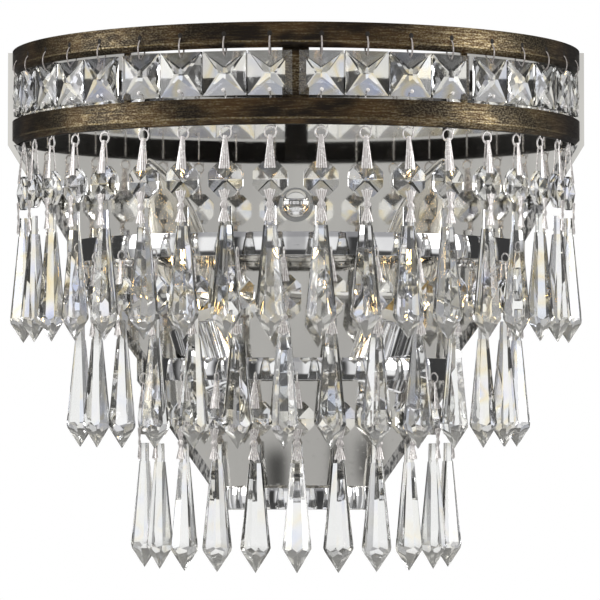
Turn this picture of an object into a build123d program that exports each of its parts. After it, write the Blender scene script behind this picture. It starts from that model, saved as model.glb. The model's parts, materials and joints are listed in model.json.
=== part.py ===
"""Crystal wall sconce: tiers of faceted glass on half-round bands, in front of a mirrored steel pan.

Millimetres. The wall is the plane y = 0 and the sconce stands out of it towards -Y, with +Z up and
+X to the right of someone who faces it. The origin is the middle of the two wall screws, on the wall.
Azimuths are degrees about Z: 0 points straight out of the wall and a positive one is to the right.
"""

import os
from math import atan2, cos, degrees, hypot, radians, sin, sqrt, tan

from build123d import *

os.makedirs("parts", exist_ok=True)

# ---------------------------------------------------------------- driving dimensions
# Pan on the wall, and the hardware that holds it
pan_depth = 20.0
pan_sheet = 1.2
pan_drop = 0.8
pan_bottom = -160.0
pan_margin = 2.4
wall_screw_spacing = 88.9
wall_screw_hole = 4.6
crossbar_length = 110.0
crossbar_width = 22.0
crossbar_sheet = 2.0
stud_diameter = 6.0
stud_clearance = 0.4
stud_reach = 7.0
washer_diameter = 18.0
washer_sheet = 1.2
nut_flats = 10.0
nut_height = 4.0
finial_diameter = 15.0
finial_belly = 4.0
finial_nose = 7.0
finial_neck_diameter = 8.5
finial_neck = 3.0
running_fit = 0.05

# Bronze bands: a flat face, a lip that slopes in below it, and a flange under the lower one
bronze_radius = 150.5
bronze_sheet = 1.2
lower_bottom = 31.3
lower_height = 12.5
upper_height = 12.3
lip = 2.4
upper_hole_lift = 5.3
flange_width = 5.9
post_azimuths = (-35.5, 0.0, 35.5)
post_bar = 2.4
post_overhang = 0.4
post_pad = 6.0
post_gap = 1.5

# Chrome bands: radius, lower edge and height of each flat hoop
hoop_sheet = 1.3
hoop_radii = (119.5, 83.5, 47.0)
hoop_bottoms = (-30.9, -92.4, -159.0)
hoop_heights = (11.7, 11.4, 11.1)
hole_lift = 3.9
hook_hole = 2.6
strap_width = 6.0
strap_sheet = 1.5

# Azimuths of the crystals
square_step = 8.6
square_first = 4.8
post_room = 1.1
squares_a_side = 9
squares_before_post = 4
middle_step = 11.2
middle_first = -70.0
middle_count = 14
bottom_step = 14.6
bottom_first = -72.6
bottom_count = 11

# Square crystals between the bronze bands
square_side = 21.6
square_rim = 2.0
square_depth = 7.6
square_cut = 0.35
square_inset = 1.5
gap_below_squares = 1.5
gap_above_squares = 1.6
square_hole = 1.8
square_hole_inset = 2.5
hanger_wire = 0.9
hanger_reach = 3.0
hanger_flat = 1.7
hanger_foot_flat = 2.3

# Eyes that hang the top tier under the lower bronze band
eye_inset = 3.9
eye_lowering = 3.7
eye_size = 6.5
eye_hole = 2.4
wire = 0.8
ring_sides = 6
eye_clearance = 0.3

# One pendant, from its bead: heights are measured from the bead's centre
bead_flats = 17.0
bead_rim = 2.4
bead_depth = 7.6
bead_grip_lift = 6.0
bow_bottom = -21.2
bow_width = 5.5
bow_waist = 1.6
prism_top = -13.0
prism_collar = -22.4
point_length = 13.0
prism_tip = -77.7
prism_head_width = 6.8
prism_head_depth = 5.0
prism_flare = 5.3
prism_width = 16.3
clip_top_width = 1.5
clip_foot_width = 5.8
clip_gap = 1.8
ring_bore = 4.6
bead_drops = (20.05, 22.2, 23.5)

# Lamp holders, tilted outwards, and their candle bulbs
lamp_spread = 45.0
lamp_stand_off = 45.0
lamp_height = -80.4
lamp_tilt = 17.0
cup_diameter = 32.0
cup_height = 34.0
cup_floor = -15.5
cup_wall = 1.5
arm_width = 12.0
arm_sheet = 2.0
socket_diameter = 21.0
socket_top = 24.0
socket_seat = 8.5
cap_diameter = 12.0
cap_clearance = 0.3
glass_bottom = 32.8
glass_belly = 55.0
glass_shoulder = 84.0
glass_shoulder_diameter = 27.0
glass_tip = 107.7
glass_diameter = 34.0
glass_neck_diameter = 17.0

# ---------------------------------------------------------------- places worked out from them
pan_front = -pan_depth
lower_top = lower_bottom + lower_height
square_centre_height = lower_top + gap_below_squares + square_side / 2
upper_bottom = square_centre_height + square_side / 2 + gap_above_squares
upper_top = upper_bottom + upper_height
pan_top = upper_top - pan_drop
eye_centre_height = lower_bottom - eye_lowering
flange_radius = bronze_radius - flange_width
eye_radius = bronze_radius - eye_inset
square_centre_radius = bronze_radius - square_inset
upper_hole_height = upper_bottom + upper_hole_lift
square_holes_apart = square_side / 2 - square_hole_inset
right_squares = [
    square_first + square_step * step + (post_room if step >= squares_before_post else 0)
    for step in range(squares_a_side)
]
square_azimuths = [-azimuth for azimuth in reversed(right_squares)] + right_squares
middle_azimuths = [middle_first + middle_step * step for step in range(middle_count)]
bottom_azimuths = [bottom_first + bottom_step * step for step in range(bottom_count)]
eye_pivot = eye_centre_height - eye_size / 2 + wire / 2
bead_reach = bead_flats / 2 / cos(radians(22.5))
ridge_slope = (bead_depth - bead_rim) / 2 / bead_reach * cos(radians(22.5))
grip_depth = bead_depth / 2 - ridge_slope * bead_grip_lift
bow_top = (prism_head_depth - bead_depth) / 2 / ridge_slope


def place(radius, height, azimuth):
    """A spot on a band, whose -Y axis points away from the middle of the sconce."""
    turn = radians(azimuth)
    return Location((radius * sin(turn), -radius * cos(turn), height), (0, 0, azimuth))


def end_x(radius):
    """How far from the middle a band of this radius meets the pan."""
    return sqrt(radius**2 - pan_depth**2)


def save(part, name):
    """Label a finished piece and write its STEP file."""
    part.label = name
    export_step(part, f"parts/{name}.step")


def copies(part, locations):
    """The same piece at each of the given locations."""
    with BuildPart() as group:
        with Locations(*locations):
            add(part)
    return group.part


# ---------------------------------------------------------------- pan, crossbar and centre hardware
with BuildPart() as back_plate:
    with BuildSketch(Plane.XZ):
        with BuildLine():
            edge = [(0, pan_top), (end_x(bronze_radius) + pan_margin, pan_top)]
            edge += [(end_x(bronze_radius) + pan_margin, lower_bottom)]
            for radius, bottom, height in zip(hoop_radii, hoop_bottoms, hoop_heights):
                edge += [(end_x(radius) + pan_margin, bottom + height)]
                edge += [(end_x(radius) + pan_margin, max(bottom, pan_bottom))]
            edge += [(end_x(hoop_radii[-1]) + pan_margin, pan_bottom), (0, pan_bottom)]
            Polyline(*edge, close=True)
        make_face()
        mirror(about=Plane.YZ)
    extrude(amount=pan_depth)
    offset(amount=-pan_sheet, openings=back_plate.faces().sort_by(Axis.Y)[-1], kind=Kind.INTERSECTION)
    with Locations(Plane.XZ.offset(pan_depth)):
        Hole(stud_diameter / 2 + stud_clearance, depth=2 * pan_sheet)
save(back_plate.part, "back_plate")

with BuildPart() as wall_crossbar:
    with BuildSketch(Plane.XZ):
        Rectangle(crossbar_length, crossbar_width)
        chamfer(vertices(), crossbar_width / 5)
        Circle(stud_diameter / 2, mode=Mode.SUBTRACT)
        with GridLocations(wall_screw_spacing, 0, 2, 1):
            Circle(wall_screw_hole / 2, mode=Mode.SUBTRACT)
    extrude(amount=crossbar_sheet)
save(wall_crossbar.part, "wall_crossbar")

washer_front = pan_depth + washer_sheet
with BuildPart() as stud:
    with BuildSketch(Plane.XZ):
        Circle(stud_diameter / 2)
    extrude(amount=washer_front + stud_reach)
with BuildPart() as lock_nut:
    with BuildSketch(Plane.XZ.offset(crossbar_sheet)):
        RegularPolygon(nut_flats / 2, 6, major_radius=False)
        Circle(stud_diameter / 2, mode=Mode.SUBTRACT)
    extrude(amount=nut_height)
with BuildPart() as washer:
    with BuildSketch(Plane.XZ.offset(pan_depth)):
        Circle(washer_diameter / 2)
        Circle(stud_diameter / 2 + stud_clearance, mode=Mode.SUBTRACT)
    extrude(amount=washer_sheet)
save(Compound([stud.solid(), lock_nut.solid(), washer.solid()]), "centre_hardware")

with BuildPart() as ball_finial:
    neck_start = washer_front + running_fit
    ball_centre = neck_start + finial_neck + finial_diameter / 2
    with BuildSketch(Plane.XY):
        with BuildLine():
            Polyline(
                (0, -neck_start),
                (finial_neck_diameter / 2, -neck_start),
                (finial_neck_diameter / 2, finial_neck / 2 - neck_start - finial_neck),
                (finial_diameter / 2, finial_belly / 2 - ball_centre),
                (finial_diameter / 2, -finial_belly / 2 - ball_centre),
                (finial_nose / 2, -finial_diameter / 2 - ball_centre),
                (0, -finial_diameter / 2 - ball_centre),
                close=True,
            )
        make_face()
    revolve(axis=Axis.Y)
    with Locations(Plane.XZ.offset(neck_start)):
        Hole(stud_diameter / 2 + running_fit, depth=stud_reach + running_fit)
save(ball_finial.part, "ball_finial")


# ---------------------------------------------------------------- bronze bands and their posts
def bronze_band(bottom, top, inner_radius):
    """A bronze band: flat face, sloping lip and, down to the inner radius, a flat flange."""
    with BuildPart() as band:
        with BuildSketch(Plane.XZ):
            with BuildLine():
                corners = [(bronze_radius, top), (bronze_radius, bottom + lip)]
                corners += [(bronze_radius - lip, bottom)]
                if inner_radius < bronze_radius - lip:
                    corners += [(inner_radius, bottom)]
                section = Polyline(*corners)
                offset(section, amount=bronze_sheet, side=Side.RIGHT, kind=Kind.INTERSECTION)
            make_face()
        revolve(axis=Axis.Z)
        split(bisect_by=Plane.XZ.offset(pan_depth))
    return band.part


with BuildPart() as bronze_band_upper:
    add(bronze_band(upper_bottom, upper_top, bronze_radius))
    with Locations(*[place(bronze_radius, upper_hole_height, azimuth) for azimuth in square_azimuths]):
        Box(hook_hole, 4 * bronze_sheet, hook_hole, mode=Mode.SUBTRACT)
save(bronze_band_upper.part, "bronze_band_upper")

with BuildPart() as bronze_band_lower:
    add(bronze_band(lower_bottom, lower_top, flange_radius))
    with Locations(*[place(eye_radius, lower_bottom, azimuth) for azimuth in square_azimuths]):
        Box(eye_hole, eye_hole, 4 * bronze_sheet, mode=Mode.SUBTRACT)
save(bronze_band_lower.part, "bronze_band_lower")

with BuildPart() as bronze_posts:
    pad_radius = sqrt((bronze_radius - bronze_sheet) ** 2 - (post_bar / 2) ** 2)
    bar_radius = flange_radius - post_overhang
    with BuildSketch(Plane.YZ):
        post_bottom = lower_bottom + bronze_sheet + post_gap
        post_top = upper_top - post_gap
        with Locations((-bar_radius, (post_bottom + post_top) / 2)):
            Rectangle(post_bar, post_top - post_bottom, align=(Align.MAX, Align.CENTER))
        for pad_height in (lower_top - post_gap - post_pad / 2, post_top - post_pad / 2):
            with Locations((-bar_radius, pad_height)):
                Rectangle(pad_radius - bar_radius, post_pad, align=(Align.MAX, Align.CENTER))
    extrude(amount=post_bar / 2, both=True)
save(copies(bronze_posts.part, [place(0, 0, azimuth) for azimuth in post_azimuths]), "bronze_posts")


# ---------------------------------------------------------------- chrome bands and side straps
def hoop(radius, bottom, height, hole_azimuths):
    """A flat hoop round the middle of the wall side, cut off at the pan, with holes for the hooks."""
    with BuildPart() as band:
        with BuildSketch(Plane.XY.offset(bottom)):
            Circle(radius)
            Circle(radius - hoop_sheet, mode=Mode.SUBTRACT)
            with Locations((0, pan_front)):
                Rectangle(2 * radius, radius, align=(Align.CENTER, Align.MAX), mode=Mode.INTERSECT)
        extrude(amount=height)
        if hole_azimuths:
            spots = [place(radius, bottom + hole_lift, azimuth) for azimuth in hole_azimuths]
            with Locations(*spots):
                Box(hook_hole, 4 * hoop_sheet, hook_hole, mode=Mode.SUBTRACT)
    return band.part


hoop_hole_azimuths = (middle_azimuths, bottom_azimuths, [])
for number, hoop_size in enumerate(zip(hoop_radii, hoop_bottoms, hoop_heights, hoop_hole_azimuths)):
    save(hoop(*hoop_size), f"chrome_band_{number + 1}")

with BuildPart() as side_straps:
    upper_ends = [(end_x(eye_radius), lower_bottom)]
    for radius, bottom in zip(hoop_radii, hoop_bottoms):
        upper_ends += [(end_x(radius - hoop_sheet / 2), bottom)]
    with BuildSketch(Plane.XZ.offset(pan_depth)):
        for upper_end, radius, bottom, height in zip(upper_ends, hoop_radii, hoop_bottoms, hoop_heights):
            lower_x = end_x(radius - hoop_sheet / 2)
            half = strap_width / 2
            with BuildLine():
                Polyline(
                    (upper_end[0] - half, upper_end[1]),
                    (upper_end[0] + half, upper_end[1]),
                    (lower_x + half, bottom + height),
                    (lower_x - half, bottom + height),
                    close=True,
                )
            make_face()
        mirror(about=Plane.YZ)
    extrude(amount=strap_sheet)
save(side_straps.part, "side_straps")


# ---------------------------------------------------------------- square crystals and their wires
def cut_facets(count, reach, rim, depth, first_angle):
    """Cut facets on the front and back of a crystal, from its rim at that reach up to its middle."""
    rise = (depth - rim) / 2
    for face in (-1, 1):
        for number in range(count):
            angle = radians(first_angle + 360 * number / count)
            normal = (rise * cos(angle), face * reach, rise * sin(angle))
            split(bisect_by=Plane(origin=(0, face * depth / 2, 0), z_dir=normal), keep=Keep.BOTTOM)


with BuildPart() as square_crystal:
    with BuildSketch(Plane.XZ):
        Rectangle(square_side, square_side)
    extrude(amount=square_depth / 2, both=True)
    cut_facets(4, square_side / 2, square_rim, square_depth, 0)
    cut_facets(4, square_side / sqrt(2) + square_cut, square_rim, square_depth - 2 * square_cut, 45)
    with Locations((0, 0, square_holes_apart), (0, 0, -square_holes_apart)):
        Box(square_hole, 2 * square_depth, square_hole, mode=Mode.SUBTRACT)
square_places = [place(square_centre_radius, square_centre_height, azimuth) for azimuth in square_azimuths]
save(copies(square_crystal.part, square_places), "square_crystals")


def wire_loop(corners, size):
    """A closed loop of square wire in the plane that stands out of the wall."""
    with BuildPart() as loop:
        with BuildSketch(Plane.YZ):
            with BuildLine():
                Polyline(*corners, close=True)
            make_face()
            offset(amount=-size, kind=Kind.INTERSECTION, mode=Mode.SUBTRACT)
        extrude(amount=size / 2, both=True)
    return loop.part


hanger_top = upper_hole_height - square_centre_height - hook_hole / 2 + hanger_wire
hanger_foot = square_holes_apart + square_hole / 2 - hanger_wire
hanger_middle = (hanger_top + hanger_foot) / 2
band_offset = square_centre_radius - bronze_radius + bronze_sheet / 2
hanger = wire_loop(
    [
        (band_offset - hanger_flat, hanger_top),
        (band_offset + hanger_flat, hanger_top),
        (hanger_reach + hanger_wire / 2, hanger_middle),
        (hanger_foot_flat, hanger_foot),
        (-hanger_foot_flat, hanger_foot),
        (-hanger_reach - hanger_wire / 2, hanger_middle),
    ],
    hanger_wire,
)

with BuildPart() as eye_link:
    eye_offset = square_centre_radius - eye_radius
    eye_drop = eye_centre_height - square_centre_height
    with BuildSketch(Plane.XZ.offset(-eye_offset)):
        with Locations((0, eye_drop)):
            RegularPolygon(eye_size / 2, ring_sides, major_radius=False)
            RegularPolygon(eye_size / 2 - wire, ring_sides, major_radius=False, mode=Mode.SUBTRACT)
    extrude(amount=wire / 2, both=True)
    with BuildSketch(Plane.YZ):
        with BuildLine():
            shank_foot = eye_drop + eye_size / 2
            hook_height = -square_holes_apart - square_hole / 2
            Polyline(
                (eye_offset - wire / 2, shank_foot),
                (eye_offset + wire / 2, shank_foot),
                (eye_offset + wire / 2, hook_height + wire),
                (-hanger_foot_flat, hook_height + wire),
                (-hanger_foot_flat, hook_height),
                (eye_offset - wire / 2, hook_height),
                close=True,
            )
        make_face()
    extrude(amount=wire / 2, both=True)
save(
    Compound([wired.moved(spot) for spot in square_places for wired in (hanger.solid(), eye_link.solid())]),
    "square_wires",
)


# ---------------------------------------------------------------- pieces of one pendant
def octagon_bead():
    """The octagonal bead: eight facets a side, whose ridges run to the middles of its flats."""
    with BuildPart() as bead:
        with BuildSketch(Plane.XZ):
            RegularPolygon(bead_flats / 2, 8, major_radius=False, rotation=22.5)
        extrude(amount=bead_depth / 2, both=True)
        cut_facets(8, bead_reach, bead_rim, bead_depth, 22.5)
    return bead.solid()


def icicle_prism():
    """The long prism: a head, a six-sided body that widens down, and a point turned half a facet."""
    half_width, half_depth = prism_head_width / 2, prism_head_depth / 2
    corner_angle = degrees(atan2(half_width / 2, half_depth))
    corner_reach = half_width * half_depth / hypot(half_depth, half_width / 2)
    with BuildPart() as prism:
        with BuildSketch(Plane.XY.offset(prism_tip)):
            Rectangle(prism_width, prism_width)
        extrude(amount=prism_collar - prism_tip)
        flanks = [(90, half_depth), (corner_angle, corner_reach), (180 - corner_angle, corner_reach)]
        for side in (-1, 1):
            for angle, reach in flanks:
                outward = Vector(cos(radians(angle)), side * sin(radians(angle)), 0)
                tilted = outward + Vector(0, 0, tan(radians(prism_flare)))
                flank = Plane(origin=outward * reach + (0, 0, prism_collar), z_dir=tilted)
                split(bisect_by=flank, keep=Keep.BOTTOM)
        for number in range(6):
            angle = radians(60 * number)
            normal = (point_length * cos(angle), point_length * sin(angle), -prism_width / 2)
            split(bisect_by=Plane(origin=(0, 0, prism_tip), z_dir=normal), keep=Keep.BOTTOM)
        extrude(prism.faces().sort_by(Axis.Z)[-1], amount=prism_top - prism_collar)
    return prism.solid()


def bow_tie():
    """The bow-tie link: two fans that meet at a knot, from the bead's facet to the prism's head."""
    with BuildPart() as bow:
        with BuildSketch(Plane.XZ.offset(prism_head_depth / 2)):
            with BuildLine():
                middle = (bow_top + bow_bottom) / 2
                Polyline(
                    (-bow_width / 2, bow_top),
                    (bow_width / 2, bow_top),
                    (bow_waist / 2, middle),
                    (bow_width / 2, bow_bottom),
                    (-bow_width / 2, bow_bottom),
                    (-bow_waist / 2, middle),
                    close=True,
                )
            make_face()
        extrude(amount=wire)
    return bow.solid()


def clip(apex):
    """The clip: a wedge in front and a wire behind, joined over the apex, that grip the bead."""
    with BuildPart() as bent:
        fall = apex - bead_grip_lift
        spread = grip_depth - clip_gap / 2
        slope = Plane(origin=(0, -clip_gap / 2, apex), x_dir=(1, 0, 0), z_dir=(0, -fall, spread))
        with BuildSketch(slope):
            with BuildLine():
                foot = -hypot(fall, spread)
                Polyline(
                    (-clip_top_width / 2, 0),
                    (clip_top_width / 2, 0),
                    (clip_foot_width / 2, foot),
                    (-clip_foot_width / 2, foot),
                    close=True,
                )
            make_face()
        extrude(amount=wire)
        with BuildSketch(Plane.YZ):
            with BuildLine():
                Polyline(
                    (-(clip_gap + wire) / 2, apex),
                    (clip_gap / 2 + wire, apex),
                    (grip_depth + wire, bead_grip_lift),
                    (grip_depth, bead_grip_lift),
                    (clip_gap / 2, apex - wire),
                    (-(clip_gap + wire) / 2, apex - wire),
                    close=True,
                )
            make_face()
        extrude(amount=wire / 2, both=True)
    return bent.part


def hook_ring(ring_centre):
    """The ring that goes through a hole of a chrome band and round its lower edge."""
    with BuildPart() as ring:
        with BuildSketch(Plane.YZ):
            with Locations((0, ring_centre)):
                RegularPolygon(ring_bore / 2 + wire, ring_sides, major_radius=False)
                RegularPolygon(ring_bore / 2, ring_sides, major_radius=False, mode=Mode.SUBTRACT)
        extrude(amount=wire / 2, both=True)
    return ring.part


def pendant_pieces(pivot_lift, ringed):
    """The separate pieces of a pendant whose pivot is that far above the bead's centre."""
    if ringed:
        ring_centre = pivot_lift - (ring_bore + wire) / 2
        with BuildPart() as hook:
            add(hook_ring(ring_centre))
            add(clip(ring_centre - ring_bore / 2))
    else:
        with BuildPart() as hook:
            add(clip(pivot_lift + 3 * wire / 2 + eye_clearance))
    pieces = [hook.solid(), octagon_bead(), bow_tie(), icicle_prism()]
    return [piece.moved(Location((0, 0, -pivot_lift))) for piece in pieces]


tiers = (
    ("top", eye_radius, eye_pivot, square_azimuths),
    ("middle", hoop_radii[0] - hoop_sheet / 2, hoop_bottoms[0] + hole_lift, middle_azimuths),
    ("bottom", hoop_radii[1] - hoop_sheet / 2, hoop_bottoms[1] + hole_lift, bottom_azimuths),
)
for (tier, pivot_radius, pivot_height, azimuths), bead_drop in zip(tiers, bead_drops):
    pieces = pendant_pieces(bead_drop, ringed=tier != "top")
    for number, azimuth in enumerate(azimuths):
        spot = place(pivot_radius, pivot_height, azimuth)
        hung = Compound([piece.moved(spot) for piece in pieces])
        save(hung, f"pendant_{tier}_{number + 1:02d}")


# ---------------------------------------------------------------- lamp holders, sockets and bulbs
with BuildPart() as cup:
    with BuildSketch(Plane.XZ):
        with BuildLine():
            Polyline(
                (0, cup_floor),
                (cup_diameter / 2, cup_floor),
                (cup_diameter / 2, cup_floor + cup_height),
                (cup_diameter / 2 - cup_wall, cup_floor + cup_height),
                (cup_diameter / 2 - cup_wall, cup_floor + cup_wall),
                (0, cup_floor + cup_wall),
                close=True,
            )
        make_face()
    revolve(axis=Axis.Z)
    with Locations((0, 0, cup_floor)):
        Box(arm_width, lamp_stand_off - pan_depth, arm_sheet, align=(Align.CENTER, Align.MIN, Align.MAX))
        with Locations((0, lamp_stand_off - pan_depth, 0)):
            Box(arm_width, arm_sheet, arm_width, align=(Align.CENTER, Align.MAX, Align.MAX))

with BuildPart() as socket:
    with BuildSketch(Plane.XY.offset(cup_floor + cup_wall)):
        Circle(socket_diameter / 2)
    extrude(amount=socket_top - cup_floor - cup_wall)
    with BuildSketch(Plane.XY.offset(socket_seat)):
        Circle(cap_diameter / 2 + cap_clearance)
    extrude(amount=socket_top - socket_seat, mode=Mode.SUBTRACT)

with BuildPart() as bulb:
    with BuildSketch(Plane.XZ):
        with BuildLine():
            Polyline(
                (0, socket_seat + cap_clearance),
                (cap_diameter / 2, socket_seat + cap_clearance),
                (cap_diameter / 2, socket_top),
                (glass_neck_diameter / 2, glass_bottom),
                (glass_diameter / 2, glass_belly),
                (glass_shoulder_diameter / 2, glass_shoulder),
                (0, glass_tip),
                close=True,
            )
        make_face()
    revolve(axis=Axis.Z)

lamp_places = [
    Location((side * lamp_spread, -lamp_stand_off, lamp_height), (0, side * lamp_tilt, 0))
    for side in (-1, 1)
]
save(copies(cup.part, lamp_places), "lamp_holders")
save(copies(socket.part, lamp_places), "sockets")
for side, lamp_place in zip(("left", "right"), lamp_places):
    save(copies(bulb.part, [lamp_place]), f"bulb_{side}")
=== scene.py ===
"""The looks of the crystal wall sconce: its glass, wires, bands, pan and bulbs, with camera and light."""

import json
from math import atan2, cos, pi, radians, sin, sqrt, tan

import bpy
from mathutils import Matrix, Vector


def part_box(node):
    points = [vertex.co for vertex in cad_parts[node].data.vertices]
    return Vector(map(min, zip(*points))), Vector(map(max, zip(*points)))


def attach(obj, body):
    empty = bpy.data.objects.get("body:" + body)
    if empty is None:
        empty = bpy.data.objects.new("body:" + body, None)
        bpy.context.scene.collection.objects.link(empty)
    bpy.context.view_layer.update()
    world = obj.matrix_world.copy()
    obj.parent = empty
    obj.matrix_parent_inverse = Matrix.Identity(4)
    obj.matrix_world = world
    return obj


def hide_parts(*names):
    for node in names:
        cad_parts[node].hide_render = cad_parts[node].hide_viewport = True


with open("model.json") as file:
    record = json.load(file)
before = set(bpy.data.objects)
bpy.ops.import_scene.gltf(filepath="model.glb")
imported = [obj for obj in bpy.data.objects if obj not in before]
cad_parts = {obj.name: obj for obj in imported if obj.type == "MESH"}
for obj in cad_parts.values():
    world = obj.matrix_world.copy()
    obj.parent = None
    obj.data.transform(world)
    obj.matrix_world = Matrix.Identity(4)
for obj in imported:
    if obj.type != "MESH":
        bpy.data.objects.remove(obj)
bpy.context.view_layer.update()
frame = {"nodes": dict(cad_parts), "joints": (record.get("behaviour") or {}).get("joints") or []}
mm = 0.001

# ---------------------------------------------------------------- sizes that several pieces share
pan_front = 20.0 * mm
band_radius, band_sheet = 150.5 * mm, 1.2 * mm
lip, lip_step = 2.4 * mm, 0.4 * mm
lower_bottom, lower_top = 31.3 * mm, 43.8 * mm
upper_bottom, upper_top = 68.5 * mm, 80.8 * mm
square_side, square_radius, square_height = 21.6 * mm, 149.0 * mm, 56.1 * mm
eye_radius, eye_height, dimple_height = 146.6 * mm, 27.6 * mm, 75.1 * mm
strap_azimuths, strap_widths = (-35.5, 0, 35.5), (3.6, 13.0, 3.6)
pattern_radius = 150 * mm
# the height of each tier's points, and how far above and below it they reach
tier_points = [(-67.5 * mm, 10 * mm), (-122.5 * mm, 8 * mm), (-184.0 * mm, 10 * mm)]

# ---------------------------------------------------------------- camera
camera_data = bpy.data.cameras.new("front_camera")
camera_data.lens = 185.8
camera_data.sensor_width = 36
camera = bpy.data.objects.new("front_camera", camera_data)
camera.location = (0.0021, -1.645, -0.102)
camera.rotation_euler = (radians(91.83), 0, 0)
bpy.context.scene.collection.objects.link(camera)
bpy.context.scene.camera = camera
bpy.context.scene.view_settings.view_transform = "Standard"


# ---------------------------------------------------------------- shader arithmetic
class Value:
    """A node's output that Python arithmetic can be done with."""

    def __init__(self, shader, socket):
        self.shader = shader
        self.socket = socket

    def __add__(self, other):
        return self.shader.math("ADD", self, other)

    def __radd__(self, other):
        return self.shader.math("ADD", other, self)

    def __sub__(self, other):
        return self.shader.math("SUBTRACT", self, other)

    def __rsub__(self, other):
        return self.shader.math("SUBTRACT", other, self)

    def __mul__(self, other):
        return self.shader.math("MULTIPLY", self, other)

    def __rmul__(self, other):
        return self.shader.math("MULTIPLY", other, self)

    def __truediv__(self, other):
        return self.shader.math("DIVIDE", self, other)


class Shader:
    """A node tree that is laid out one node at a time."""

    def __init__(self, tree):
        self.tree = tree
        self.tree.nodes.clear()

    def node(self, kind, settings=None, sockets=None, output=0):
        """Add a node: first its settings, then the values or links of its sockets."""
        made = self.tree.nodes.new(kind)
        for name, value in (settings or {}).items():
            if name == "stops":
                steps = made.color_ramp.elements
                steps[0].position, steps[1].position = value[0][0], value[-1][0]
                steps[0].color, steps[1].color = (*value[0][1], 1), (*value[-1][1], 1)
                for position, colour in value[1:-1]:
                    steps.new(position).color = (*colour, 1)
            else:
                setattr(made, name, value)
        for name, value in (sockets or {}).items():
            if isinstance(value, Value):
                self.tree.links.new(value.socket, made.inputs[name])
            elif isinstance(value, tuple) and made.inputs[name].type == "RGBA":
                made.inputs[name].default_value = (*value, 1)
            else:
                made.inputs[name].default_value = value
        return Value(self, made.outputs[output]) if made.outputs else None

    def math(self, operation, first, second=0.0):
        return self.node("ShaderNodeMath", {"operation": operation}, {0: first, 1: second})

    def place(self):
        """Object coordinates, in metres."""
        return self.node("ShaderNodeTexCoord", output="Object")

    def noise(self, vector, scale, detail=3.0, roughness=0.5):
        sockets = {"Vector": vector, "Scale": scale, "Detail": detail, "Roughness": roughness}
        return self.node("ShaderNodeTexNoise", None, sockets)

    def fade(self, value, low, high, start=0.0, end=1.0):
        """Smoothly from start to end while the value goes from low to high."""
        sockets = {"Value": value, "From Min": low, "From Max": high, "To Min": start, "To Max": end}
        return self.node("ShaderNodeMapRange", {"interpolation_type": "SMOOTHSTEP"}, sockets)

    def mix(self, factor, first, second):
        """Blend two colours."""
        return self.node("ShaderNodeMix", {"data_type": "RGBA"}, {0: factor, 6: first, 7: second}, output=2)

    def stretch(self, vector, amount):
        return self.node("ShaderNodeVectorMath", {"operation": "MULTIPLY"}, {0: vector, 1: amount})

    def bump(self, height, strength, distance):
        sockets = {"Height": height, "Strength": strength, "Distance": distance}
        return self.node("ShaderNodeBump", None, sockets)

    def split_up(self, vector):
        """The three parts of a vector."""
        parts = self.node("ShaderNodeSeparateXYZ", None, {0: vector}).socket.node.outputs
        return [Value(self, part) for part in parts]

    def turn(self):
        """How far round the sconce a spot is, in radians: 0 in front and positive on the right."""
        x, y = self.split_up(self.place())[:2]
        return self.math("ARCTAN2", x, 0 - y)

    def around(self, along_scale, across_scale):
        """A pattern that runs along a band: distance round it, then height."""
        height = self.split_up(self.place())[2]
        sockets = {0: self.turn() * (pattern_radius * along_scale), 1: height * across_scale, 2: 0.0}
        return self.node("ShaderNodeCombineXYZ", None, sockets)

    def near(self, value, spot, width):
        """1 at a spot and 0 further off than the width."""
        return self.fade(self.math("ABSOLUTE", value - spot), width * 0.3, width, 1.0, 0.0)


def finish_of(name):
    """A new material and the shader that draws it."""
    material = bpy.data.materials.new(name)
    material.use_nodes = True
    return material, Shader(material.node_tree)


def principled(shader, sockets):
    """Close a material with one Principled shader."""
    surface = shader.node("ShaderNodeBsdfPrincipled", None, sockets)
    shader.node("ShaderNodeOutputMaterial", None, {"Surface": surface})


def grained(name, scale, dark, light, roughness, metallic=0.0, stretch=(1, 1, 1)):
    """A plain finish whose colour and polish vary a little with a fine grain."""
    material, shader = finish_of(name)
    grain = shader.noise(shader.stretch(shader.place(), stretch), scale)
    base = shader.mix(grain, dark, light)
    polish = shader.fade(grain, 0.3, 0.7, *roughness)
    principled(shader, {"Base Color": base, "Metallic": metallic, "Roughness": polish})
    return material


def grey(level):
    """A colour without a tint."""
    return (level, level, level)


# ---------------------------------------------------------------- finishes
# clear glass with painted rainbow glints on some facets, in place of the fire of cut crystal, a little
# cloudier at the points
crystal, shader = finish_of("cut_crystal")
facing = shader.node("ShaderNodeNewGeometry", output="True Normal")
height = shader.split_up(shader.place())[2]
sockets = {0: facing, 1: shader.stretch(shader.place(), (9, 9, 9))}
spread = shader.node("ShaderNodeVectorMath", {"operation": "ADD"}, sockets)
glint = shader.noise(spread, 2.6, detail=1.0)
warmth = shader.noise(spread, 5.1, detail=1.0)
# the colours of the painted rainbow glints
painted_fire_stops = [
    (0.36, (0.62, 0.70, 1.0)),
    (0.46, (0.97, 0.94, 1.0)),
    (0.54, (1.0, 0.98, 0.86)),
    (0.60, (1.0, 0.82, 0.42)),
    (0.66, (0.72, 0.80, 1.0)),
]
painted_fire_colours = shader.node("ShaderNodeValToRGB", {"stops": painted_fire_stops}, {"Fac": warmth})
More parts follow.
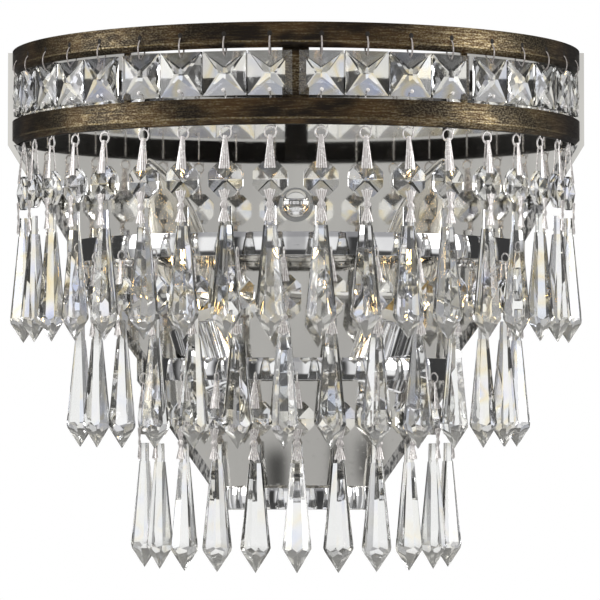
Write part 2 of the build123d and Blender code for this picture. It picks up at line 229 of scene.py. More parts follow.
# painted rainbow glints on the facets that the noise picks, weaker on the lowest tier
painted_fire_share = shader.fade(glint, 0.47, 0.58, 0.0, 0.85) * shader.fade(height, -0.14, -0.10, 0.4, 1.0)
tint = shader.mix(painted_fire_share, (0.96, 0.965, 0.955), painted_fire_colours)
sockets = {"Base Color": tint, "IOR": 1.56, "Roughness": 0.0, "Transmission Weight": 1.0}
clear = shader.node("ShaderNodeBsdfPrincipled", None, sockets)
milk = shader.mix(warmth, (0.66, 0.65, 0.61), (0.80, 0.79, 0.75))
cloudy = shader.node("ShaderNodeBsdfPrincipled", None, {"Base Color": milk, "Roughness": 0.08})
point = sum(shader.near(height, middle, reach) for middle, reach in tier_points)
blend = shader.node("ShaderNodeMixShader", None, {0: 0.03 + 0.22 * point, 1: clear, 2: cloudy})
shader.node("ShaderNodeOutputMaterial", None, {"Surface": blend})

mirror, shader = finish_of("mirror_steel")
smear = shader.noise(shader.stretch(shader.place(), (9, 9, 2.5)), 3.0)
fleck = shader.noise(shader.place(), 420.0, detail=2.0)
base = shader.mix(shader.fade(smear, 0.35, 0.7), (0.76, 0.745, 0.71), (0.86, 0.845, 0.80))
rough = shader.fade(smear, 0.3, 0.75, 0.025, 0.045) + shader.fade(fleck, 0.62, 0.7, 0.0, 0.03)
principled(shader, {"Base Color": base, "Metallic": 1.0, "Roughness": rough})

chrome, shader = finish_of("bright_chrome")
cloud = shader.noise(shader.place(), 60.0)
base = shader.mix(shader.fade(cloud, 0.4, 0.65), (0.80, 0.80, 0.81), (0.90, 0.90, 0.90))
rough = shader.fade(cloud, 0.35, 0.7, 0.03, 0.08)
principled(shader, {"Base Color": base, "Metallic": 1.0, "Roughness": rough})

strap_metal, shader = finish_of("strap_chrome")
streak = shader.noise(shader.stretch(shader.place(), (700, 5, 260)), 1.0, detail=2.0)
base = shader.mix(shader.fade(streak, 0.40, 0.58), (0.16, 0.16, 0.16), (0.62, 0.61, 0.59))
rough = shader.fade(streak, 0.3, 0.7, 0.08, 0.16)
principled(shader, {"Base Color": base, "Metallic": 1.0, "Roughness": rough})

# bright wire with painted shade in the grooves between the flutes of the fans, and darker above 56 mm, in the
# hangers of the squares
wire_metal, shader = finish_of("silver_wire")
tarnish = shader.noise(shader.place(), 500.0, detail=2.0)
across = shader.split_up(shader.node("ShaderNodeTexCoord", output="UV"))[0]
flute = shader.math("PINGPONG", across * 5, 0.5)
# painted shade along the hollows between the flutes of the fans
painted_groove_shade = shader.fade(flute, 0.04, 0.26, 1.0, 0.0) * shader.fade(across, 0.06, 0.1)
base = shader.mix(shader.fade(tarnish, 0.4, 0.62), (0.82, 0.78, 0.76), (0.92, 0.89, 0.87))
base = shader.mix(painted_groove_shade * 0.85, base, (0.14, 0.11, 0.10))
height = shader.split_up(shader.place())[2]
hangers = shader.fade(height, 56 * mm, 62 * mm, 0.0, 0.7)
base = shader.mix(hangers, base, (0.24, 0.20, 0.18))
rough = shader.fade(tarnish, 0.35, 0.65, 0.20, 0.30)
principled(shader, {"Base Color": base, "Metallic": 0.45, "Roughness": rough})

# dark paint with gold showing through scuffs; more gold as a painted highlight on the sides of the bands,
# more gold in the middle of the straps, and painted shade near black inside the bands and towards their ends
bronze, shader = finish_of("brushed_bronze")
brushing = shader.noise(shader.around(110, 1100), 1.0, detail=4.0, roughness=0.7)
patches = shader.noise(shader.around(34, 60), 1.0, detail=3.0)
speckle = shader.noise(shader.around(800, 1300), 1.0, detail=2.0)
x, y, height = shader.split_up(shader.place())
azimuth = shader.turn()
side_on = shader.math("ABSOLUTE", azimuth)
east, north = shader.split_up(shader.node("ShaderNodeNewGeometry", output="True Normal"))[:2]
inner = shader.fade((east * x + north * y) / pattern_radius, -0.1, 0.3, 1.0, 0.0)
# painted highlight: more gold on the sides of the bands where the side lamps catch them, less on the left
painted_sheen_and_wear = shader.fade(side_on, 0.15, 0.70) * shader.fade(side_on, 0.90, 1.20, 1.0, 0.0)
painted_sheen_and_wear = painted_sheen_and_wear * shader.fade(azimuth, -0.6, 0.0, 0.72, 1.0)
# more gold in the middle of the straps
straps_between = shader.near(height, 56.2 * mm, 12.5 * mm)
painted_sheen_and_wear = shader.math("MAXIMUM", painted_sheen_and_wear, straps_between)
# painted shade: near black on faces turned inwards and towards the ends of the bands, and darker again at the
# right end
right_end = shader.fade(azimuth, 0.85, 1.15, 1.0, 0.5)
painted_lighting = shader.fade(side_on, 1.0, 1.3, 1.0, 0.12) * right_end * (1 - inner)
edge_heights = [bottom + lip + lip_step for bottom in (upper_bottom, lower_bottom)]
edges = sum(shader.near(height, edge, 0.7 * mm) for edge in edge_heights)
dark = shader.mix(shader.fade(patches, 0.40, 0.62), (0.016, 0.011, 0.008), (0.070, 0.038, 0.015))
# painted shade: the paint goes near black where the painted lighting falls off
dark = shader.mix(painted_lighting, (0.008, 0.006, 0.005), dark)
gold = shader.mix(shader.fade(speckle, 0.35, 0.7), (0.20, 0.145, 0.060), (0.40, 0.34, 0.23))
# gold from scuffs along the brushing, raised by the painted highlight on the band sides
wear_and_painted_sheen = shader.fade(brushing, 0.42, 0.70) * shader.fade(patches, 0.36, 0.64, 0.15, 1.0)
wear_and_painted_sheen = wear_and_painted_sheen * (0.50 + 0.80 * painted_sheen_and_wear) + 0.34 * painted_sheen_and_wear * shader.fade(speckle, 0.42, 0.62)
# the share of gold: scuffs, the painted highlight and a line along each step, cut back by the painted shade
gold_share_with_painted_light = shader.math("MINIMUM", wear_and_painted_sheen + 0.6 * edges * shader.fade(brushing, 0.3, 0.6), 1.0) * painted_lighting
principled(
    shader,
    {
        "Base Color": shader.mix(gold_share_with_painted_light, dark, gold),
        "Metallic": shader.fade(brushing, 0.35, 0.7, 0.75, 0.95) * (0.2 + 0.8 * painted_lighting),
        "Roughness": shader.fade(brushing, 0.35, 0.7, 0.46, 0.30) + 0.2 * (1 - painted_lighting),
        "Normal": shader.bump(brushing, 0.25, 0.4 * mm),
    },
)

steel_grey, steel_light = (0.42, 0.42, 0.43), (0.58, 0.58, 0.57)
steel = grained("plain_steel", 3.0, steel_grey, steel_light, (0.25, 0.42), 1.0, (12, 400, 400))
# painted shade: near-black for the dimples that stand for the holes in the upper band
hole_shade_paint = grained("dark_recess", 900.0, (0.008, 0.006, 0.004), (0.02, 0.014, 0.009), (0.6, 0.8))
holder_plastic = grained("socket_plastic", 260.0, (0.70, 0.68, 0.62), (0.82, 0.80, 0.75), (0.35, 0.5))
brass = grained("brass_cap", 330.0, (0.52, 0.36, 0.14), (0.72, 0.55, 0.28), (0.2, 0.38), 1.0)

bulb_glass, shader = finish_of("bulb_glass")
haze = shader.noise(shader.place(), 70.0)
base = shader.mix(haze, (0.97, 0.96, 0.93), (1.0, 0.99, 0.97))
sockets = {"Base Color": base, "Roughness": 0.0, "IOR": 1.45, "Transmission Weight": 1.0}
principled(shader, sockets)

filament_glow, shader = finish_of("filament_glow")
pulse = shader.noise(shader.place(), 600.0)
base = shader.mix(pulse, (1.0, 0.62, 0.22), (1.0, 0.80, 0.45))
principled(shader, {"Base Color": base, "Emission Color": base, "Emission Strength": 22.0, "Roughness": 0.5})

floor_paint, shader = finish_of("pale_floor")
mottle = shader.noise(shader.place(), 6.0)
principled(shader, {"Base Color": shader.mix(mottle, grey(0.84), grey(0.88)), "Roughness": 0.7})


# ---------------------------------------------------------------- shaping by operators
def begin(add, **settings):
    """Add a primitive on its own, its place in its mesh, and go into edit mode with all of it selected."""
    bpy.ops.object.select_all(action="DESELECT")
    add(**settings)
    bpy.ops.object.transform_apply(location=True, rotation=True, scale=True)
    bpy.ops.object.mode_set(mode="EDIT")
    bpy.ops.mesh.select_all(action="SELECT")


def end(name):
    """Leave edit mode with the piece's faces outwards and its name set."""
    bpy.ops.mesh.select_all(action="SELECT")
    bpy.ops.mesh.remove_doubles(threshold=1e-7)
    bpy.ops.mesh.normals_make_consistent(inside=False)
    bpy.ops.object.mode_set(mode="OBJECT")
    bpy.context.object.name = name
    return bpy.context.object


def pick(kind, test):
    """Select only the vertices or faces whose middle passes the test."""
    bpy.ops.mesh.select_mode(type=kind)
    bpy.ops.mesh.select_all(action="DESELECT")
    bpy.ops.object.mode_set(mode="OBJECT")
    mesh = bpy.context.object.data
    if kind == "VERT":
        for point in mesh.vertices:
            point.select = test(point.co)
    else:
        for face in mesh.polygons:
            face.select = test(face.center)
    bpy.ops.object.mode_set(mode="EDIT")


def cut(point, away):
    """Cut off what lies beyond a plane and close the cut with a face."""
    bpy.ops.mesh.select_all(action="SELECT")
    normal = Vector(away).normalized()
    bpy.ops.mesh.bisect(plane_co=point, plane_no=normal, use_fill=True, clear_outer=True, threshold=1e-7)


def modify(piece, kind, **settings):
    """Add a modifier and apply it."""
    bpy.ops.object.select_all(action="DESELECT")
    bpy.context.view_layer.objects.active = piece
    piece.select_set(True)
    modifier = piece.modifiers.new(kind.lower(), kind)
    for name, value in settings.items():
        setattr(modifier, name, value)
    bpy.ops.object.modifier_apply(modifier=modifier.name)


def smooth(piece, angle):
    """Shade a piece smooth, with edges sharper than the angle left crisp."""
    bpy.ops.object.select_all(action="DESELECT")
    bpy.context.view_layer.objects.active = piece
    piece.select_set(True)
    bpy.ops.object.shade_smooth_by_angle(angle=radians(angle))
    return piece


def join(pieces, name):
    """Make one piece of several."""
    bpy.ops.object.select_all(action="DESELECT")
    for piece in pieces:
        piece.select_set(True)
    bpy.context.view_layer.objects.active = pieces[0]
    bpy.ops.object.join()
    pieces[0].name = name
    return pieces[0]


def copy_to(piece, matrix, name):
    """A copy of a piece, with its own mesh, moved by the matrix."""
    twin = piece.copy()
    twin.data = piece.data.copy()
    twin.data.transform(matrix)
    twin.name = name
    bpy.context.scene.collection.objects.link(twin)
    return twin


def discard(*pieces):
    """Throw away the patterns that copies were taken from."""
    for piece in pieces:
        bpy.data.objects.remove(piece)


def dress(piece, material, body, nodes=()):
    """Give a finished piece its material, its body and the CAD nodes that it stands for."""
    piece.data.materials.clear()
    piece.data.materials.append(material)
    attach(piece, body)
    if nodes:
        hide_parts(*nodes)


def turned(rings, sides, name):
    """A closed turned form about Z, from (radius, height) pairs, lowest first."""
    radius, height = rings[0]
    settings = {"vertices": sides, "radius": radius, "fill_type": "NGON", "location": (0, 0, height)}
    begin(bpy.ops.mesh.primitive_circle_add, **settings)
    for (old, low), (new, high) in zip(rings, rings[1:]):
        bpy.ops.mesh.extrude_region_move(TRANSFORM_OT_translate={"value": (0, 0, high - low)})
        bpy.ops.transform.resize(value=(new / old, new / old, 1), center_override=(0, 0, high))
    return smooth(end(name), 40)


def ring_of_wire(width, height, thickness, centre, name, upright=True):
    """An oval ring of round wire whose hole looks along X, or along Y if it isn't edge-on."""
    turn = (0, pi / 2, 0) if upright else (pi / 2, 0, 0)
    settings = {"major_segments": 28, "minor_segments": 8, "generate_uvs": False}
    settings.update(major_radius=(height - thickness) / 2, minor_radius=thickness / 2)
    begin(bpy.ops.mesh.primitive_torus_add, rotation=turn, location=centre, **settings)
    wide = (width - thickness) / (height - thickness)
    bpy.ops.transform.resize(value=(1, wide, 1) if upright else (wide, 1, 1), center_override=centre)
    return smooth(end(name), 80)


def rod(start, finish, thickness, name):
    """A straight length of round wire."""
    along = Vector(finish) - Vector(start)
    turn = along.to_track_quat("Z", "Y").to_euler()
    middle = (Vector(start) + Vector(finish)) / 2
    settings = {"vertices": 8, "radius": thickness / 2, "depth": along.length, "calc_uvs": False}
    begin(bpy.ops.mesh.primitive_cylinder_add, location=middle, rotation=turn, **settings)
    return smooth(end(name), 40)


def pin_head(radius, place):
    """The flattened end of a pin, as it shows from in front."""
    settings = {"segments": 10, "ring_count": 6, "radius": radius, "calc_uvs": False}
    begin(bpy.ops.mesh.primitive_uv_sphere_add, **settings)
    bpy.ops.transform.resize(value=(1, 0.6, 1))
    bpy.ops.transform.translate(value=place)
    return smooth(end("pin_head"), 60)


def eased_bars(rows, easing, name):
    """Flat bars with eased edges, from (size, middle) pairs in millimetres."""
    bars = []
    for size, middle in rows:
        begin(bpy.ops.mesh.primitive_cube_add, size=1)
        bpy.ops.transform.resize(value=[side * mm for side in size])
        bpy.ops.transform.translate(value=[offset * mm for offset in middle])
        bpy.ops.mesh.bevel(offset=easing * mm, segments=2, affect="EDGES")
        bars.append(smooth(end(name), 40))
    return bars


def fluted_fan(top_width, foot_width, top, foot, top_y, foot_y, name):
    """A thin pressed fan of flutes, with a scalloped edge where it is widest."""
    columns, scallop, sheet = 10, 0.45 * mm, 0.25 * mm
    begin(bpy.ops.mesh.primitive_grid_add, x_subdivisions=columns, y_subdivisions=3, size=1)
    bpy.ops.object.mode_set(mode="OBJECT")
    for point in bpy.context.object.data.vertices:
        on_ridge = round((point.co.x + 0.5) * columns) % 2 == 1
        share = 0.5 - point.co.y
        wide = top_width + (foot_width - top_width) * share
        ridge = 0.022 * wide if on_ridge else 0.0
        swell = -0.10 * wide * (1 - (2 * point.co.x) ** 2)
        tongue = scallop if on_ridge and wide > 0.99 * max(top_width, foot_width) else 0.0
        y = top_y + (foot_y - top_y) * share + swell - ridge
        z = top + (foot - top) * share + (tongue if top_width > foot_width else -tongue)
        point.co = (point.co.x * wide, y, z)
    bpy.ops.object.mode_set(mode="EDIT")
    fan = end(name)
    modify(fan, "SOLIDIFY", thickness=sheet, offset=1.0)
    return smooth(fan, 22)


# ---------------------------------------------------------------- crystal patterns
bead_flats, bead_rim, bead_depth = 17.0 * mm, 2.4 * mm, 7.6 * mm
prism_top, prism_collar, prism_tip = -13.0 * mm, -22.4 * mm, -77.7 * mm
head_width, head_depth, prism_width, point_length = 6.8 * mm, 5.0 * mm, 16.3 * mm, 14.0 * mm
flare = tan(radians(5.3))


def pyramid_cuts(count, reach, rim, depth, first_angle):
    """Facets on the front and back that rise from the rim at that reach up to the middle."""
    rise = (depth - rim) / 2
    for face in (-1, 1):
        for number in range(count):
            angle = radians(first_angle + 360 * number / count)
            cut((0, face * depth / 2, 0), (rise * cos(angle), face * reach, rise * sin(angle)))


def octagon_pattern():
    """The bead: eight facets a side that meet at its middle."""
    settings = {"vertices": 8, "radius": bead_flats / 2 / cos(pi / 8), "depth": bead_depth}
    begin(bpy.ops.mesh.primitive_cylinder_add, rotation=(pi / 2, 0, 0), **settings)
    bpy.ops.transform.rotate(value=pi / 8, orient_axis="Y", center_override=(0, 0, 0))
    pyramid_cuts(8, bead_flats / 2 / cos(pi / 8), bead_rim, bead_depth, 22.5)
    return end("bead_pattern")


def prism_pattern():
    """The icicle: a slim head, an eight-sided body that widens downwards, and a six-sided point."""
    begin(bpy.ops.mesh.primitive_cube_add, size=1, location=(0, 0, (prism_collar + prism_tip) / 2))
    bpy.ops.transform.resize(value=(prism_width, prism_width, prism_collar - prism_tip))
    corner_reach = 2.72 * mm
    sides = [(90, head_depth / 2), (0, head_width / 2 * 0.97), (48, corner_reach), (132, corner_reach)]
    for angle, reach in sides:
        for side in (-1, 1):
            outward = Vector((cos(radians(angle)), sin(radians(angle)), 0)) * side
            cut(outward * reach + Vector((0, 0, prism_collar)), outward + Vector((0, 0, flare)))
    for number in range(6):
        angle = radians(60 * number)
        cut((0, 0, prism_tip), (point_length * cos(angle), point_length * sin(angle), -prism_width / 2))
    pick("FACE", lambda middle: middle.z > prism_collar - 0.01 * mm)
    bpy.ops.mesh.inset(thickness=0.35 * mm)
    bpy.ops.mesh.extrude_region_move(TRANSFORM_OT_translate={"value": (0, 0, prism_top - prism_collar)})
    bpy.ops.transform.resize(value=(0.94, 0.94, 1), center_override=(0, 0, prism_top))
    return end("prism_pattern")


def square_pattern():
    """The square: four big facets a side, with a long kite on each diagonal."""
    rim, depth, offcut = 2.0 * mm, 7.6 * mm, 0.35 * mm
    begin(bpy.ops.mesh.primitive_cube_add, size=1)
    bpy.ops.transform.resize(value=(square_side, depth, square_side))
    pyramid_cuts(4, square_side / 2, rim, depth, 0)
    pyramid_cuts(4, square_side / sqrt(2) + offcut, rim, depth - 2 * offcut, 45)
    return end("square_pattern")


glass_pattern = join([octagon_pattern(), prism_pattern()], "pendant_glass_pattern")
one_square = square_pattern()

# ---------------------------------------------------------------- wire patterns
wire = 0.8 * mm


def bow_parts():
    """The bow-tie link: a crown at the bead, a pinched knot, a crown on the prism, and two pin heads."""
    front = -head_depth / 2
    # width at the top, width at the foot, top and foot of each fan, in millimetres
    upper_crown, lower_crown = (5.8, 2.0, -5.6, -10.9), (2.0, 6.0, -14.3, -20.3)
    knot = [(2.0, 4.2, -10.7, -12.5), (4.2, 2.0, -12.5, -14.4)]
    parts = []
    for fan in (upper_crown, *knot, lower_crown):
        y = front - 0.15 * mm
        parts.append(fluted_fan(*[size * mm for size in fan], y, y, "crown"))
    parts += [pin_head(0.9 * mm, (0, front - 0.5 * mm, height * mm)) for height in (-5.6, -20.6)]
    return parts


def clip_parts(apex):
    """The clip: a long fluted wedge in front of the bead, a wire behind it and a saddle over both."""
    top_width, foot_width, back, grip = 1.6 * mm, 5.6 * mm, 2.2 * mm, 6.0 * mm
    near_top, saddle_reach, saddle_height = 0.9 * mm, 1.3 * mm, apex - wire / 2
    foot, foot_y = grip - 0.6 * mm, -back - 0.1 * mm
    parts = [fluted_fan(top_width, foot_width, apex, foot, -near_top, foot_y, "wedge")]
    parts.append(rod((0, near_top, saddle_height), (0, back, grip), wire, "back_wire"))
    parts.append(rod((0, -saddle_reach, saddle_height), (0, saddle_reach, saddle_height), wire, "saddle"))
    return parts


def pendant_wires(pivot_lift, ringed, name):
    """All the wire of one pendant, measured from the middle of its bead."""
    bore = 4.6 * mm
    ring_centre = pivot_lift - (bore + wire) / 2
    hook_play = 0.3 * mm
    apex = ring_centre - bore / 2 if ringed else pivot_lift + 1.5 * wire + hook_play
    parts = clip_parts(apex) + bow_parts()
    if ringed:
        outer = bore + 2 * wire
        parts.append(ring_of_wire(outer, outer, wire, (0, 0, ring_centre), "hook_ring"))
    return join(parts, name)


# ---------------------------------------------------------------- pendants
for tier in ("top", "middle", "bottom"):
    joints = [joint for joint in frame["joints"] if joint["name"].startswith(f"pendant_{tier}")]
    node = joints[0]["name"].replace("_swing", "")
    bead_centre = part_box(node)[0].z - prism_tip
    lift = joints[0]["pos_m"][2] - bead_centre
    wire_pattern = pendant_wires(lift, tier != "top", f"{tier}_wire_pattern")
    for joint in joints:
        node = joint["name"].replace("_swing", "")
        x, y, z = joint["pos_m"]
        turn = Matrix.Rotation(atan2(joint["axis"][1], joint["axis"][0]), 4, "Z")
        spot = Matrix.Translation((x, y, bead_centre)) @ turn
        number = node.replace("pendant_", "")
        dress(copy_to(glass_pattern, spot, f"glass_{number}"), crystal, f"{node}_body", [node])
        dress(copy_to(wire_pattern, spot, f"wires_{number}"), wire_metal, f"{node}_body", [node])
    discard(wire_pattern)
discard(glass_pattern)

# ---------------------------------------------------------------- square crystals and their wires
first_azimuth, azimuth_step, strap_room = 4.8, 8.6, 1.1
right_side = [first_azimuth + azimuth_step * step + (strap_room if step >= 4 else 0) for step in range(9)]
azimuths = [-azimuth for azimuth in reversed(right_side)] + right_side


def on_band(radius, height, azimuth):
    """Where a piece sits whose front looks away from the middle of the sconce."""
    return Matrix.Rotation(radians(azimuth), 4, "Z") @ Matrix.Translation((0, -radius, height))


def square_wire_parts():
    """An oval hanger above, and below it a pin, a shank and the eye for the top tier's clip."""
    eye_y = square_radius - eye_radius
    drop = eye_height - square_height
    hole = -8.3 * mm
    hanger_width, hanger_length, hanger_wire, hanger_lift = 6.9 * mm, 10.9 * mm, 0.9 * mm, 13.3 * mm
    eye_size, eye_wire = 6.6 * mm, 0.95 * mm
    parts = [ring_of_wire(hanger_width, hanger_length, hanger_wire, (0, 0, hanger_lift), "hanger")]
    parts.append(ring_of_wire(eye_size, eye_size, eye_wire, (0, eye_y, drop), "eye", upright=False))
    parts.append(rod((0, eye_y, drop + 2.9 * mm), (0, eye_y, hole), wire, "shank"))
    parts.append(rod((0, eye_y, hole), (0, -2.2 * mm, hole), wire, "pin"))
    low_end = (2.7 * mm, eye_y - 0.4 * mm, drop + 1.2 * mm)
    high_end = (3.3 * mm, eye_y - 0.5 * mm, drop + 3.4 * mm)
    parts.append(rod(low_end, high_end, 0.6 * mm, "wire_end"))
    parts.append(pin_head(1.0 * mm, (0, -2.6 * mm, hole)))
    return parts


spots = [on_band(square_radius, square_height, azimuth) for azimuth in azimuths]
squares = [copy_to(one_square, spot, f"square_{number}") for number, spot in enumerate(spots)]
dress(join(squares, "square_glass"), crystal, "sconce_body", ["square_crystals"])
square_wire = join(square_wire_parts(), "square_wire_pattern")
links = [copy_to(square_wire, spot, f"link_{number}") for number, spot in enumerate(spots)]
dress(join(links, "square_links"), wire_metal, "sconce_body", ["square_wires"])
discard(one_square, square_wire)


# ---------------------------------------------------------------- bands
def bent_round(radius, name):
    """Spin the upright section that is being edited about the middle, from side to side of the pan."""
    reach = atan2(sqrt(radius**2 - pan_front**2), pan_front)
    bpy.ops.mesh.select_all(action="SELECT")
    bpy.ops.transform.rotate(value=pi / 2 - reach, orient_axis="Z", center_override=(0, 0, 0))
    bpy.ops.mesh.spin(steps=160, angle=2 * reach, center=(0, 0, 0), axis=(0, 0, 1))
    return smooth(end(name), 30)


def strip_section(radius, bottom, top, thickness):
    """Start a section: an upright rectangle, its outer side at the radius."""
    middle = (radius - thickness / 2, 0, (bottom + top) / 2)
    begin(bpy.ops.mesh.primitive_plane_add, size=1, rotation=(pi / 2, 0, 0), location=middle)
    bpy.ops.transform.resize(value=(thickness, 1, top - bottom))


def round_corners(size):
    """Make a section one face and ease its corners before it is spun."""
    bpy.ops.mesh.select_mode(type="FACE")
    bpy.ops.mesh.select_all(action="SELECT")
    bpy.ops.mesh.dissolve_faces()
    bpy.ops.mesh.select_mode(type="VERT")
    bpy.ops.mesh.select_all(action="SELECT")
    bpy.ops.mesh.bevel(offset=size, segments=2, affect="VERTICES")


def bronze_strip(bottom, top, name):
    """A bronze band: a flat face with eased edges, a fine step, and a lip that slopes in below it."""
    strip_section(band_radius, bottom, top, band_sheet)
    # first all below the step goes in a little, then all below the lip's top goes in as far as the lip does
    for height, inwards in ((bottom + lip + 0.3 * mm, lip_step), (bottom + lip, lip - lip_step)):
        bpy.ops.mesh.select_all(action="SELECT")
        bpy.ops.mesh.bisect(plane_co=(0, 0, height), plane_no=(0, 0, 1), threshold=1e-7)
        pick("VERT", lambda point: point.z < height - 0.1 * mm)
        bpy.ops.transform.translate(value=(-inwards, 0, 0))
    round_corners(0.12 * mm)
    return bent_round(band_radius, name)


def flange_strip():
    """The flat flange under the lower bronze band, which the eyes hang through."""
    flange_radius, flange_sheet, flange_width = 148.3 * mm, 1.1 * mm, 3.7 * mm
    strip_section(flange_radius, lower_bottom, lower_bottom + flange_sheet, flange_width)
    round_corners(0.1 * mm)
    return bent_round(band_radius, "flange")


def painted_hole_dimples():
    """A near-black dimple of painted shade, in place of the hole where each hanger goes through the upper
    band.
    """
    begin(bpy.ops.mesh.primitive_uv_sphere_add, segments=12, ring_count=6, radius=1.2 * mm)
    bpy.ops.transform.resize(value=(1, 0.12, 1.15))
    dimple = smooth(end("dimple"), 60)
    places = [on_band(band_radius, dimple_height, azimuth) for azimuth in azimuths]
    found = [copy_to(dimple, spot, "dimple_copy") for spot in places]
    discard(dimple)
    return join(found, "upper_dimples")


def strap(width, azimuth):
    """An upright strap behind the squares, with a foot at each end that reaches out to a band."""
    rows = [((width, 1.3, 46.4), (0, -143.3, 56.0))]
    rows += [((width, 5.6, 1.2), (0, -145.6, height)) for height in (33.4, 78.6)]
    whole = join(eased_bars(rows, 0.25, "strap"), "strap")
    whole.data.transform(Matrix.Rotation(radians(azimuth), 4, "Z"))
    return whole


upper = bronze_strip(upper_bottom, upper_top, "upper_bronze_strip")
dress(upper, bronze, "sconce_body", ["bronze_band_upper"])
lower_parts = [bronze_strip(lower_bottom, lower_top, "lower_bronze_strip"), flange_strip()]
dress(join(lower_parts, "lower_bronze_strip"), bronze, "sconce_body", ["bronze_band_lower"])
dress(painted_hole_dimples(), hole_shade_paint, "sconce_body")
straps = [strap(width, azimuth) for width, azimuth in zip(strap_widths, strap_azimuths)]
dress(join(straps, "bronze_straps"), bronze, "sconce_body", ["bronze_posts"])

# radius, bottom and height of each chrome hoop, in millimetres
hoop_rows = [(119.5, -30.9, 11.7), (83.5, -92.4, 11.4), (47.0, -159.0, 11.1)]
hoop_sheet = 1.3 * mm
for number, (radius, bottom, height) in enumerate(hoop_rows):
    strip_section(radius * mm, bottom * mm, (bottom + height) * mm, hoop_sheet)
    round_corners(0.2 * mm)
    hoop = bent_round(radius * mm, f"chrome_hoop_{number + 1}")
    dress(hoop, chrome, "sconce_body", [f"chrome_band_{number + 1}"])

# ---------------------------------------------------------------- finial, lamps and bulbs
neck_start, ball_radius, ball_neck = 21.25 * mm, 7.5 * mm, 4.25 * mm
ball_middle = neck_start + 3 * mm + ball_radius
profile = [(ball_neck, neck_start), (ball_neck + 0.4 * mm, neck_start + 0.4 * mm)]
profile.append((ball_neck, neck_start + 1.2 * mm))
for step in range(3, 17):
    angle = pi * step / 17
    profile.append((ball_radius * sin(angle), ball_middle - ball_radius * cos(angle)))
profile.append((0.3 * mm, ball_middle + ball_radius))
ball = turned(profile, 48, "ball_nut")
ball.data.transform(Matrix.Rotation(pi / 2, 4, "X"))
dress(ball, chrome, "finial", ["ball_finial"])

# the bulbs, cups and lampholders, as (radius, height along the lamp's axis) in millimetres
glass_rings = [(8.0, 30.0), (8.5, 32.8), (10.6, 37.0), (14.2, 44.0), (16.4, 50.0), (17.0, 56.0), (16.8, 62.0)]
glass_rings += [(16.0, 70.0), (14.8, 77.0), (13.0, 84.0), (10.6, 91.0), (8.0, 97.0), (5.2, 102.0)]
glass_rings += [(3.0, 105.2), (1.6, 106.8), (0.5, 107.6)]
cap_rings = [(3.0, 8.9), (4.2, 9.6), (5.6, 11.2)]
for step in range(6):
    cap_rings += [(5.95, 12.2 + 2.1 * step), (5.5, 13.2 + 2.1 * step)]
cap_rings += [(5.9, 25.2), (6.3, 27.5), (8.1, 30.2), (7.4, 30.6)]
stem_rings = [(5.0, 31.0), (4.0, 33.0), (2.2, 36.0), (1.6, 37.6), (1.0, 38.8), (0.6, 39.2)]
cup_rings = [(4.0, -15.5), (15.0, -15.5), (16.0, -14.5), (16.0, 16.9), (16.0, 17.4), (15.6, 18.5)]
cup_rings += [(14.9, 18.5), (14.5, 17.6), (14.5, -14.0), (1.0, -14.0)]
socket_rings = [(10.5, -14.0), (10.5, 22.8), (9.9, 24.0), (7.2, 24.0), (6.3, 23.2), (6.3, 8.5), (0.5, 8.5)]


def in_mm(rings):
    """Profile points given in millimetres."""
    return [(radius * mm, height * mm) for radius, height in rings]


def arm_pieces():
    """The bent flat arm that carries a cup from the pan, with eased edges."""
    return eased_bars([((12, 25, 2), (0, 12.5, -16.5)), ((12, 2, 12), (0, 24, -21.5))], 0.3, "arm")


lamp_spread, lamp_stand_off, lamp_height, lamp_tilt = 45 * mm, 45 * mm, -80.4 * mm, radians(17)
cups, holders = [], []
for side, name in ((-1, "left"), (1, "right")):
    spot = Matrix.Translation((side * lamp_spread, -lamp_stand_off, lamp_height))
    spot = spot @ Matrix.Rotation(side * lamp_tilt, 4, "Y")
    glass = turned(in_mm(glass_rings), 40, f"bulb_glass_{name}")
    modify(glass, "SOLIDIFY", thickness=0.7 * mm, offset=-1.0)
    cap = turned(in_mm(cap_rings), 32, f"bulb_cap_{name}")
    stem = turned(in_mm(stem_rings), 20, f"bulb_stem_{name}")
    coil_wire, coil_middle = 1.1 * mm, (0, 0, 50 * mm)
    coil = ring_of_wire(9 * mm, 20 * mm, coil_wire, coil_middle, "coil", upright=False)
    second = ring_of_wire(7 * mm, 18 * mm, coil_wire, coil_middle, "coil")
    filament = join([coil, second], f"filament_{name}")
    smooth(glass, 60)
    for piece, material in ((glass, bulb_glass), (cap, brass), (stem, bulb_glass), (filament, filament_glow)):
        piece.data.transform(spot)
        dress(piece, material, f"lamp_{name}", [f"bulb_{name}"])
    cup = join([turned(in_mm(cup_rings), 48, "cup")] + arm_pieces(), f"cup_{name}")
    cup.data.transform(spot)
    cups.append(cup)
    holder = turned(in_mm(socket_rings), 40, f"holder_{name}")
    holder.data.transform(spot)
    holders.append(holder)
dress(join(cups, "lamp_cups"), chrome, "sconce_body", ["lamp_holders"])
dress(join(holders, "candle_sockets"), holder_plastic, "sconce_body", ["sockets"])

# ---------------------------------------------------------------- finishes of pieces that aren't redrawn
kept = {"back_plate": mirror, "wall_crossbar": steel, "centre_hardware": steel, "side_straps": strap_metal}
for name, material in kept.items():
    frame["nodes"][name].data.materials.clear()
    frame["nodes"][name].data.materials.append(material)

# ---------------------------------------------------------------- floor, lamps and surroundings
begin(bpy.ops.mesh.primitive_circle_add, vertices=64, radius=0.8, fill_type="NGON", location=(0, 0, -0.55))
floor = end("studio_floor")
floor.data.materials.append(floor_paint)


def lamp(name, place, aim, size, power):
    """A square soft lamp that looks at a point."""
    light = bpy.data.lights.new(name, "AREA")
    light.size = size
    light.energy = power
    item = bpy.data.objects.new(name, light)
    item.location = place
    item.rotation_euler = (Vector(aim) - Vector(place)).to_track_quat("-Z", "Y").to_euler()
    bpy.context.scene.collection.objects.link(item)
    return item


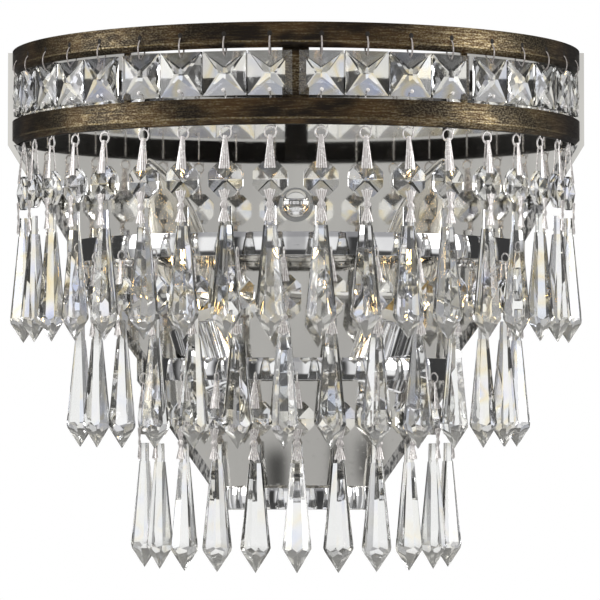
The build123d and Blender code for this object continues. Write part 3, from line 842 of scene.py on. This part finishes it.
lamp("left_lamp", (-1.6, -0.35, 0.3), (0, -0.05, -0.02), 0.7, 6)
lamp("right_lamp", (1.6, -0.4, 0.25), (0, -0.05, -0.02), 0.7, 6)
top_lamp = lamp("top_lamp", (0, -0.6, 1.5), (0, -0.1, 0), 0.9, 8)
top_lamp.visible_glossy = False

world = bpy.data.worlds.new("studio")
bpy.context.scene.world = world
world.use_nodes = True
shader = Shader(world.node_tree)
ray = shader.node("ShaderNodeTexCoord", output="Generated")
east, north, up = shader.split_up(ray)
azimuth = shader.math("ARCTAN2", east, 0 - north) / (2 * pi) + 0.5
# how light the studio is all round: 0 and 1 are behind the wall, 0.25 is the left, 0.5 the front
studio_greys = [
    (0.0, 1.0), (0.20, 1.0), (0.215, 0.35), (0.245, 0.35), (0.26, 0.95), (0.32, 0.9), (0.33, 0.07),
    (0.355, 0.08), (0.365, 0.95), (0.395, 0.9), (0.405, 0.05), (0.42, 0.05), (0.43, 1.0), (0.4838, 1.0),
    (0.4862, 0.50), (0.5138, 0.50), (0.5162, 0.95), (0.565, 0.9), (0.575, 0.05), (0.60, 0.06), (0.61, 0.85),
    (0.645, 0.9), (0.655, 0.07), (0.675, 0.07), (0.69, 0.95), (0.74, 1.0), (0.75, 0.35), (0.775, 0.35),
    (0.79, 1.0), (1.0, 1.0),
]
studio_stops = [(position, grey(level)) for position, level in studio_greys]
studio = shader.node("ShaderNodeValToRGB", {"stops": studio_stops}, {"Fac": azimuth})
behind = shader.fade(north, 0.05, 0.15)
panels = shader.fade(shader.math("PINGPONG", azimuth * 13, 0.5), 0.22, 0.32)
studio = shader.mix(behind * panels, studio, (0.36, 0.36, 0.37))
studio = shader.mix(shader.fade(up, 0.22, 0.30, 0.0, 0.85), studio, (0.34, 0.34, 0.35))
studio = shader.mix(shader.fade(up, 0.5, 0.6), studio, (0.72, 0.71, 0.68))
down = 0 - up
below = shader.fade(down, 0.14, 0.22) * shader.fade(0 - north, 0.0, 0.15)
studio = shader.mix(below, studio, grey(0.07))
studio = shader.mix(shader.fade(down, 0.80, 0.95), studio, (0.55, 0.54, 0.51))
# three dark spots in front, which the lower plate reflects: how far aside, width, level and height
blots = [(-0.0013, 0.0009, -0.024, 0.012), (0.0035, 0.0008, -0.020, 0.011), (0.0018, 0.0004, -0.025, 0.02)]
for aside, wide, level, tall in blots:
    blot = shader.near(azimuth, 0.5 + aside, wide) * shader.near(up, level, tall)
    studio = shader.mix(blot, studio, grey(0.02))
# straight reflections see a dark wall behind, soft light is even, and the camera sees white
light_path = shader.node("ShaderNodeLightPath").socket.node.outputs
seen = Value(shader, light_path["Is Camera Ray"])
scattered = Value(shader, light_path["Is Diffuse Ray"])
mirrored = Value(shader, light_path["Is Reflection Ray"])
studio = shader.mix(mirrored * behind, studio, grey(0.05))
colour = shader.mix(scattered, studio, grey(0.85))
colour = shader.mix(seen, colour, grey(1.0))
sky = shader.node("ShaderNodeBackground", None, {"Color": colour, "Strength": 1.0})
shader.node("ShaderNodeOutputWorld", None, {"Surface": sky})
